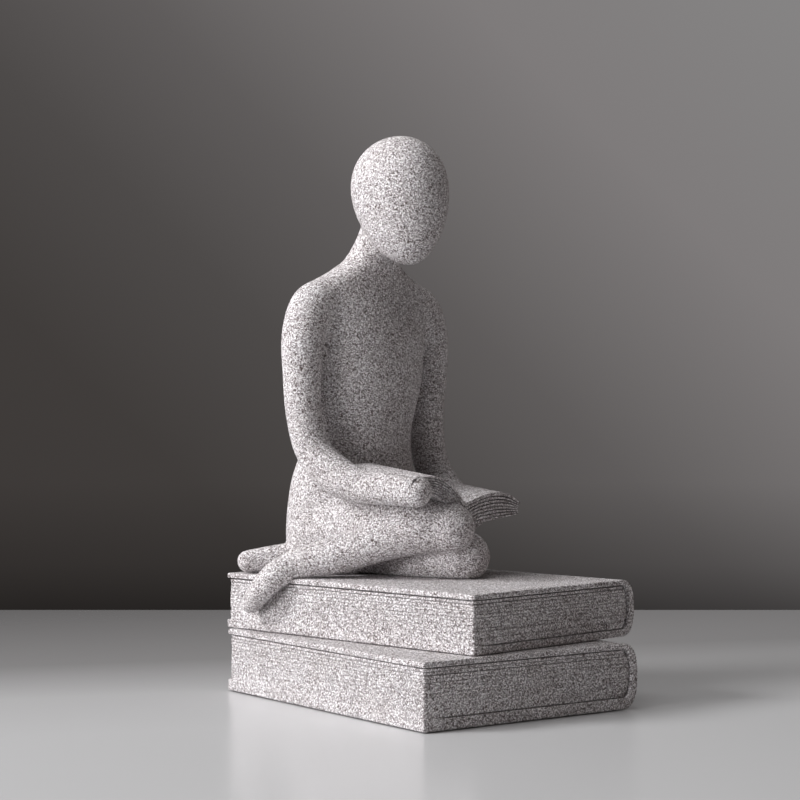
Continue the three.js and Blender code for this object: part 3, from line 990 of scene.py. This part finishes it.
# %% Stack the leaves of both books
bundle_height = 1.35
unevenness = 0.25
first_seed = 40
leaf_blocks = {}
for seed, (node, book) in enumerate(books.items(), first_seed):
    count = round((book["thickness"] - book["top"] - book["bottom"]) / bundle_height)
    piece, height = slab(f"{node}_leaves", book, count)
    stack = piece.modifiers.new("leaves", "NODES")
    stack.node_group = leaf_stack
    for name, value in (
        ("Count", count),
        ("Rise", height * mm),
        ("Swell", (spine_swell - spine_wall) / block_width(book)),
        ("Unevenness", unevenness * mm),
        ("Seed", seed),
        ("Finish", book_stone),
    ):
        stack[socket_of[name]] = value
    bake(piece)
    fore = -book["width"] / 2 + board_proud
    lift = Matrix.Translation((fore, 0, book["floor"] + book["bottom"] + bottom_groove))
    piece.data.transform(book["axes"] @ lift @ Matrix.Scale(1 / mm, 4))
    leaf_blocks[node] = piece
    print(piece.name, count, "bundles,", faces_of(piece), "triangles")

# %% [markdown]
# ## Part the skin into its castings
# Under its coat the figure is a torso, two arms and two legs, each cast by itself. The skin is
# parted along those seams: every limb's own loft, grown a little, is the tool that takes that limb
# out, and what is left is the torso with its head. Both sides of a seam share one cut, so nothing
# shows outside. The open book's outline, grown by a hair, is taken out of all of them first, so
# that the hand and the thighs touch the book but never run through it.

# %% Room for the open book
contact = 0.12


def half_book(name, sign, half_leaves):
    """One half of the open book as a plain closed form, grown by the contact gap."""
    top, under = leaf_fan(half_leaves, contact)
    points, faces = leaf_solid(sign, under, top, leaf_height / 2 + contact)
    return new_piece(name, points, faces, lap_axes)


half_books = [
    half_book("half_book_left", 1, left_leaves),
    half_book("half_book_right", -1, right_leaves),
]
combined(skin_piece, "DIFFERENCE", *half_books)
drop(*half_books)
print("room for the book:", faces_of(skin_piece), "triangles")

# %% Tools that take the limbs out
seam_growth, lap_growth, trunk_growth = 1.2, 4.0, 0.6
shoulder_seam, shoulder_reach = 26.0, 60.0
shoulder_front, shoulder_back = 50, -30
shoulder_low, shoulder_high = 100, 130


def grown(node, parts, grow):
    return [limb(f"tool_{node}_{part}", *lofts[part], grow) for part in parts]


def limb_tool(node, parts, grow, free=()):
    """The limb's lofts, grown and joined, without the trunk. Free ones may run through it."""
    tool, *others = grown(node, parts, grow)
    whole = grown(node, free, grow)
    trunk = torso("trunk", trunk_growth)
    combined(tool, "UNION", *others)
    combined(tool, "DIFFERENCE", trunk)
    combined(tool, "UNION", *whole)
    drop(trunk, *others, *whole)
    return tool


def arm_tool(node, sign, legs):
    """An arm's loft without the legs under it, with all of the shoulder beyond the seam."""
    tool = limb_tool(node, [node], seam_growth)
    under = grown(node, legs, trunk_growth)
    combined(tool, "DIFFERENCE", *under)
    sides = sorted((sign * shoulder_seam, sign * shoulder_reach))
    low = at(sides[0], shoulder_front, shoulder_low)
    high = at(sides[1], shoulder_back, shoulder_high)
    shoulder = block(f"tool_{node}_shoulder", low, high, upper_axes)
    combined(tool, "UNION", shoulder)
    drop(shoulder, *under)
    return tool


tools = {
    "right_arm": arm_tool("right_arm", -1, ["right_thigh", "right_lap", "right_shin"]),
    "left_arm": arm_tool("left_arm", 1, ["left_thigh", "right_thigh"]),
    "left_leg": limb_tool("left_leg", ["left_thigh"], seam_growth, free=["left_shin"]),
    "right_leg": limb_tool("right_leg", ["right_thigh", "right_lap", "right_shin"], lap_growth),
}
print({name: faces_of(tool) for name, tool in tools.items()})

# %% Sweep up crumbs
crumb = 60


def swept(piece):
    """Removes the bodies of a piece that have only a few faces, which a cut leaves in a crease."""
    work = bmesh.new()
    work.from_mesh(piece.data)
    seen, crumbs = set(), []
    for start in work.faces:
        if start in seen:
            continue
        seen.add(start)
        body = [start]
        for face in body:
            for edge in face.edges:
                for neighbour in edge.link_faces:
                    if neighbour not in seen:
                        seen.add(neighbour)
                        body.append(neighbour)
        if len(body) < crumb:
            crumbs += body
    bmesh.ops.delete(work, geom=crumbs, context="FACES")
    work.to_mesh(piece.data)
    work.free()
    return len(crumbs)


print("crumbs have fewer than", crumb, "faces")

# %% Take out each limb in turn
castings = {}
for node, tool in tools.items():
    limb_skin = add_object(f"{node}_skin", skin_piece.data.copy())
    castings[node] = combined(limb_skin, "INTERSECT", tool)
    combined(skin_piece, "DIFFERENCE", tool)
skin_piece.name = "torso_and_head_skin"
castings["torso_and_head"] = skin_piece
drop(*tools.values())
print("swept up:", {node: swept(piece) for node, piece in castings.items()})
print({node: faces_of(piece) for node, piece in castings.items()})

# %% Finish the pieces
edge_angle = math.radians(38)
figure_pieces = [*castings.values(), open_book]
book_pieces = [*covers.values(), *leaf_blocks.values()]
for piece in figure_pieces + book_pieces:
    piece.data.materials.clear()
    piece.data.materials.append(figure_stone if piece in figure_pieces else book_stone)
    piece.data.shade_smooth()
    piece.data.set_sharp_from_angle(angle=edge_angle)
print("finished", len(figure_pieces), "pieces of the figure and", len(book_pieces), "of the books")

# %% [markdown]
# ## Felt, steel and beech
# Three things on the ornament aren't stone: the felt under its base, the steel pins in its seams
# and the beech dowels between the books. Their solids have the right shape, so they stay and only
# get a finish. Felt is a mat of short fibres, so its noise is fine and drawn out along one axis. A
# ground pin shows rings round its axis, and a dowel shows its grain along it, so both get a noise
# that is stretched by a Mapping node in the object's own space.

# %% Felt


def grained(name, stretch, detail, stops, relief, **values):
    """A material with a noise drawn out along the axes where the stretch is small."""
    material, tree, shader = new_material(name, **values)
    mapping = add_node(tree, "ShaderNodeMapping", Vector=object_place(tree), Scale=stretch)
    noise = add_node(tree, "ShaderNodeTexNoise", Vector=mapping.outputs["Vector"])
    fill_in(tree, noise, Scale=1.0, Detail=detail, Roughness=0.6)
    height = noise.outputs["Fac"]
    colour = ramp(tree, height, stops)
    fill_in(tree, shader, Base_Color=colour, Normal=bump(tree, height, 0.6, relief))
    return material


felt = grained(
    "base_felt_grey",
    stretch=(2600.0, 900.0, 2600.0),
    detail=4.0,
    stops=[(0.3, (0.045, 0.043, 0.044)), (0.7, (0.13, 0.125, 0.127))],
    relief=0.0003,
    Roughness=0.95,
    Sheen_Weight=0.3,
)
print("felt ready")

# %% Steel for the pins
steel = grained(
    "pin_steel_ground",
    stretch=(260.0, 260.0, 5200.0),
    detail=3.0,
    stops=[(0.3, (0.42, 0.42, 0.43)), (0.7, (0.6, 0.6, 0.61))],
    relief=0.00003,
    Roughness=0.32,
    Metallic=1.0,
)
print("steel ready")

# %% Beech for the dowels
beech = grained(
    "dowel_beech",
    stretch=(1500.0, 1500.0, 110.0),
    detail=5.0,
    stops=[(0.3, (0.36, 0.2, 0.1)), (0.55, (0.55, 0.36, 0.21)), (0.75, (0.66, 0.46, 0.29))],
    relief=0.0001,
    Roughness=0.62,
)
print("beech ready")

# %% Give the solids their finishes
finishes = {"felt": felt, "_pin_": steel, "dowel": beech}
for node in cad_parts:
    for word, finish in finishes.items():
        if word in node:
            for slot in bpy.data.objects[node].material_slots:
                slot.material = finish
            print(node, "gets", finish.name)

# %% [markdown]
# ## What rides on what
# The ornament has no moving joint, so every piece rides on its one body.

# %% Tie the pieces to the frame
for node, piece in (*castings.items(), ("open_book", open_book)):
    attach(piece, "root")
    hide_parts(node)
for node in books:
    for piece in (covers[node], leaf_blocks[node]):
        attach(piece, "root")
        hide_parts(node)
print("pieces tied")

# %% [markdown]
# ## Camera
# The photograph was taken level, from the height of the figure's waist and with a long lens, which
# keeps upright edges upright. The same is set here from known points: the near corner of the lower
# book, the direction from it to the camera, the distance and the height. A camera can also be
# aimed with a Track To constraint, but a level one needs only its turn about the upright axis.

# %% Camera at the photograph's place
near_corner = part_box("lower_book")[0]
corner_on_floor = Vector((near_corner.x, near_corner.y, 0))
azimuth = math.radians(-35.91)
towards_camera = Vector((math.sin(azimuth), -math.cos(azimuth), 0))
to_the_right = Vector((math.cos(azimuth), math.sin(azimuth), 0))
left_of_corner, before_corner, camera_height = 8.6, 750, 122.3
sensor, focal_pixels, picture_pixels = 36.0, 2050, 800
camera = add_object("camera", bpy.data.cameras.new("camera"))
camera.data.sensor_width = sensor
camera.data.lens = sensor * focal_pixels / picture_pixels
camera.location = (
    corner_on_floor - to_the_right * left_of_corner * mm + towards_camera * before_corner * mm
)
camera.location.z = camera_height * mm
camera.rotation_euler = (math.radians(90), 0, azimuth)
camera.data.clip_start, camera.data.clip_end = 0.01, 20
bpy.context.scene.camera = camera
print("camera at", [round(v, 3) for v in camera.location])

# %% [markdown]
# ## Floor
# The ornament stands on a pale painted table with a soft sheen, which ends in a straight edge in
# front of the wall. Towards that edge the table has painted shade: its colour gets darker there,
# where little light falls. A colour ramp that runs back and a little to the left gives this: a dot
# product measures how far along that direction a point lies, and Map Range brings it to 0 to 1.

# %% A colour ramp along a direction


def distance_along(tree, place, direction):
    """How far a place lies in a direction."""
    node = tree.nodes.new("ShaderNodeVectorMath")
    node.operation = "DOT_PRODUCT"
    for socket, value in zip(node.inputs, (place, direction)):
        feed(tree, socket, value)
    return node.outputs["Value"]


def graded(tree, measure, low, high, stops):
    """A colour ramp over a measure, from low to high."""
    share = add_node(tree, "ShaderNodeMapRange", Value=measure, From_Min=low, From_Max=high)
    return ramp(tree, share.outputs["Result"], stops)


print("ramp helpers ready")

# %% Floor
floor_back = 444 * mm
floor_front, floor_side = 1.6, 1.9
# The table's pale colour at the front, then painted shade that darkens it towards the back edge.
floor_and_painted_shade_stops = [
    (0.0, (0.66, 0.665, 0.67)),
    (0.2, (0.6, 0.6, 0.605)),
    (0.42, (0.31, 0.308, 0.308)),
    (1.0, (0.17, 0.168, 0.168)),
]
edge_middle = corner_on_floor - towards_camera * floor_back
left_end = edge_middle - to_the_right * floor_side
right_end = edge_middle + to_the_right * floor_side
forwards = towards_camera * floor_front
corners = [left_end, left_end + forwards, right_end + forwards, right_end]
floor = new_piece("floor", corners, [(0, 1, 2, 3)], Matrix())
floor_paint_and_painted_shade, floor_tree, floor_shader = new_material(
    "floor_paint_and_painted_shade", Roughness=0.24, Specular_IOR_Level=0.4
)
back_and_left = -towards_camera - to_the_right * 0.3
how_far_back = distance_along(floor_tree, object_place(floor_tree), back_and_left)
# Painted shade: the colour darkens the further back a point lies.
floor_colour_and_painted_shade = graded(floor_tree, how_far_back, -0.06, 0.44, floor_and_painted_shade_stops)
fill_in(floor_tree, floor_shader, Base_Color=floor_colour_and_painted_shade)
floor.data.materials.append(floor_paint_and_painted_shade)
print("floor:", floor_side * 2, "by", floor_front, "m")

# %% [markdown]
# ## Lamps
# A window on the left gives the light of the photograph. Two area lamps take its place: the key is
# high and a little behind, and its shadow falls to the right on the table, while the side lamp is
# low and reaches under the forearm and the shin. A weak overhead lamp lifts the level faces, and a
# weak, slightly red fill keeps the shaded side from going black. The lamps are kept out of
# reflections, because their discs would show on the table as glare.

# %% Lamps, each with its place, size, power and colour
lamp_target = Vector((0, 0, 0.1))
lamps = {
    "key": ((-1.08, 0.42, 0.88), 0.5, 15.0, (1.0, 0.99, 1.0)),
    "side": ((-2.15, 0.02, 0.45), 1.1, 30.0, (1.0, 0.985, 1.0)),
    "overhead": ((-0.3, 0.1, 1.4), 1.0, 6.4, (1.0, 1.0, 1.0)),
    "fill": ((1.5, -1.5, 0.3), 1.4, 3.1, (1.0, 0.86, 0.82)),
}
for name, (place, size, power, colour) in lamps.items():
    light = bpy.data.lights.new(name, "AREA")
    light.shape = "DISK"
    light.size, light.energy, light.color = size, power, colour
    lamp = add_object(name, light)
    lamp.location = place
    lamp.rotation_euler = (lamp_target - Vector(place)).to_track_quat("-Z", "Y").to_euler()
    lamp.visible_glossy = False
print("lamps:", list(lamps))

# %% [markdown]
# ## Wall
# The wall behind is far away and out of focus, so it is made in the world instead of as a mesh.
# What the camera sees is a grey with painted light and shade: painted light slants from dark at
# the lower left to light at the upper right, and painted shade darkens the wall just above the
# table. Reflections see the same wall, but the light that falls on the ornament comes from a plain
# dim grey: Light Path tells the two kinds of ray apart.

# %% A world that lights plainly
ambient_grey = (0.042, 0.038, 0.037, 1)
world = bpy.data.worlds.new("studio")
bpy.context.scene.world = world
world.use_nodes = True
sky = world.node_tree
sky.nodes.clear()
ambient = add_node(sky, "ShaderNodeBackground", Color=ambient_grey)
print("ambient light:", ambient_grey[:3])

# %% The painted light and shade of the wall
# Painted light across the wall: dark at the lower left, light at the upper right.
wall_painted_light_stops = [
    (0.02, (0.046, 0.0405, 0.038)),
    (0.2, (0.052, 0.0465, 0.044)),
    (0.36, (0.075, 0.069, 0.067)),
    (0.5, (0.114, 0.106, 0.105)),
    (0.58, (0.15, 0.141, 0.14)),
    (0.72, (0.21, 0.198, 0.198)),
    (0.92, (0.234, 0.228, 0.228)),
]
# Painted shade on the wall just above the table.
painted_shade_above_table_stops = [(0.0, (0.36, 0.36, 0.36)), (0.4, (0.7, 0.7, 0.7)), (1.0, (1.0, 1.0, 1.0))]
sight = sky.nodes.new("ShaderNodeTexCoord").outputs["Generated"]
right_and_up = (*(to_the_right * 0.7).to_2d(), 0.714)
painted_light_slant = graded(sky, distance_along(sky, sight, right_and_up), -0.2, 0.3, wall_painted_light_stops)
rise = add_node(sky, "ShaderNodeSeparateXYZ", Vector=sight).outputs["Z"]
painted_shade_above_table = graded(sky, rise, -0.105, -0.04, painted_shade_above_table_stops)
wall = add_node(sky, "ShaderNodeBackground", Color=multiplied(sky, painted_light_slant, painted_shade_above_table))
print("wall ready")

# %% Let only sight and reflections reach the wall
ray = sky.nodes.new("ShaderNodeLightPath").outputs
either = maths(sky, "MAXIMUM", ray["Is Camera Ray"], ray["Is Glossy Ray"])
any_of = maths(sky, "MAXIMUM", either, ray["Is Transmission Ray"])
blend = sky.nodes.new("ShaderNodeMixShader")
for socket, source in zip(blend.inputs, (any_of, ambient.outputs[0], wall.outputs[0])):
    feed(sky, socket, source)
add_node(sky, "ShaderNodeOutputWorld", Surface=blend.outputs[0])
bpy.context.scene.view_settings.view_transform = "Standard"
print("view transform:", bpy.context.scene.view_settings.view_transform)
